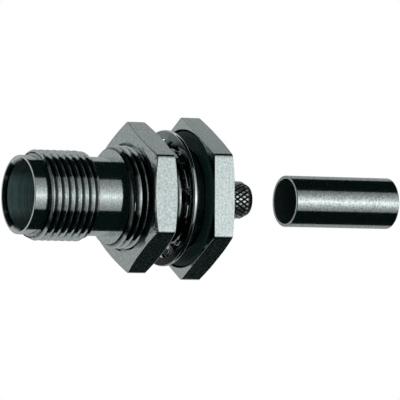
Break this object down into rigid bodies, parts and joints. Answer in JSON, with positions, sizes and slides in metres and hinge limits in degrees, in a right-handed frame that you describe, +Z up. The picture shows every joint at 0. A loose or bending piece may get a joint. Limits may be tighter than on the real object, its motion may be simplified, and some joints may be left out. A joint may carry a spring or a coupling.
{
  "type": "reverse polarity tnc connector",
  "caption": "Threaded coaxial bulkhead jack with hexagonal flange, rubber gasket, lock washer, mounting nut, knurled crimp post and a loose crimp ferrule.",
  "frame": {"origin": "on the connector's axis, at the front face of the hexagonal flange, where the panel seats", "axes": "+X along the axis from the open mouth towards the cable, +Z up through a corner of the flange, -Y out of the flange flat that faces the camera"},
  "size_m": [0.0521, 0.0176, 0.0202],
  "materials": {
    "plated_brass": "bright nickel plate over turned brass",
    "washer_plating": "bright nickel plate over stamped bronze",
    "ferrule_plating": "bright nickel plate over drawn tube",
    "contact_plating": "gold plate over turned brass",
    "insulator_white": "turned white plastic",
    "gasket_rubber": "moulded black rubber, slightly glossy"
  },
  "bodies": {
    "connector": {"connector_body": "plated_brass", "insulator": "insulator_white", "centre_contact": "contact_plating", "gasket": "gasket_rubber"},
    "washer": {"lock_washer": "washer_plating"},
    "nut": {"hex_nut": "plated_brass"},
    "ferrule": {"crimp_ferrule": "ferrule_plating"}
  },
  "joints": [
    {"name": "washer_slide", "type": "slide", "parent": "connector", "child": "washer", "axis": [1, 0, 0], "range_m": [-0.005, 0.0016]},
    {"name": "nut_turn", "type": "hinge", "parent": "washer", "child": "nut", "pos_m": [-0.00628, 0, 0], "axis": [1, 0, 0], "range_deg": [-1980, 630]},
    {"name": "ferrule_slide", "type": "slide", "parent": "connector", "child": "ferrule", "axis": [1, 0, 0], "range_m": [-0.0119, 0]}
  ],
  "couplings": [
    {"joint": "washer_slide", "follows": "nut_turn", "m_per_rad": 0.00014438}
  ]
}
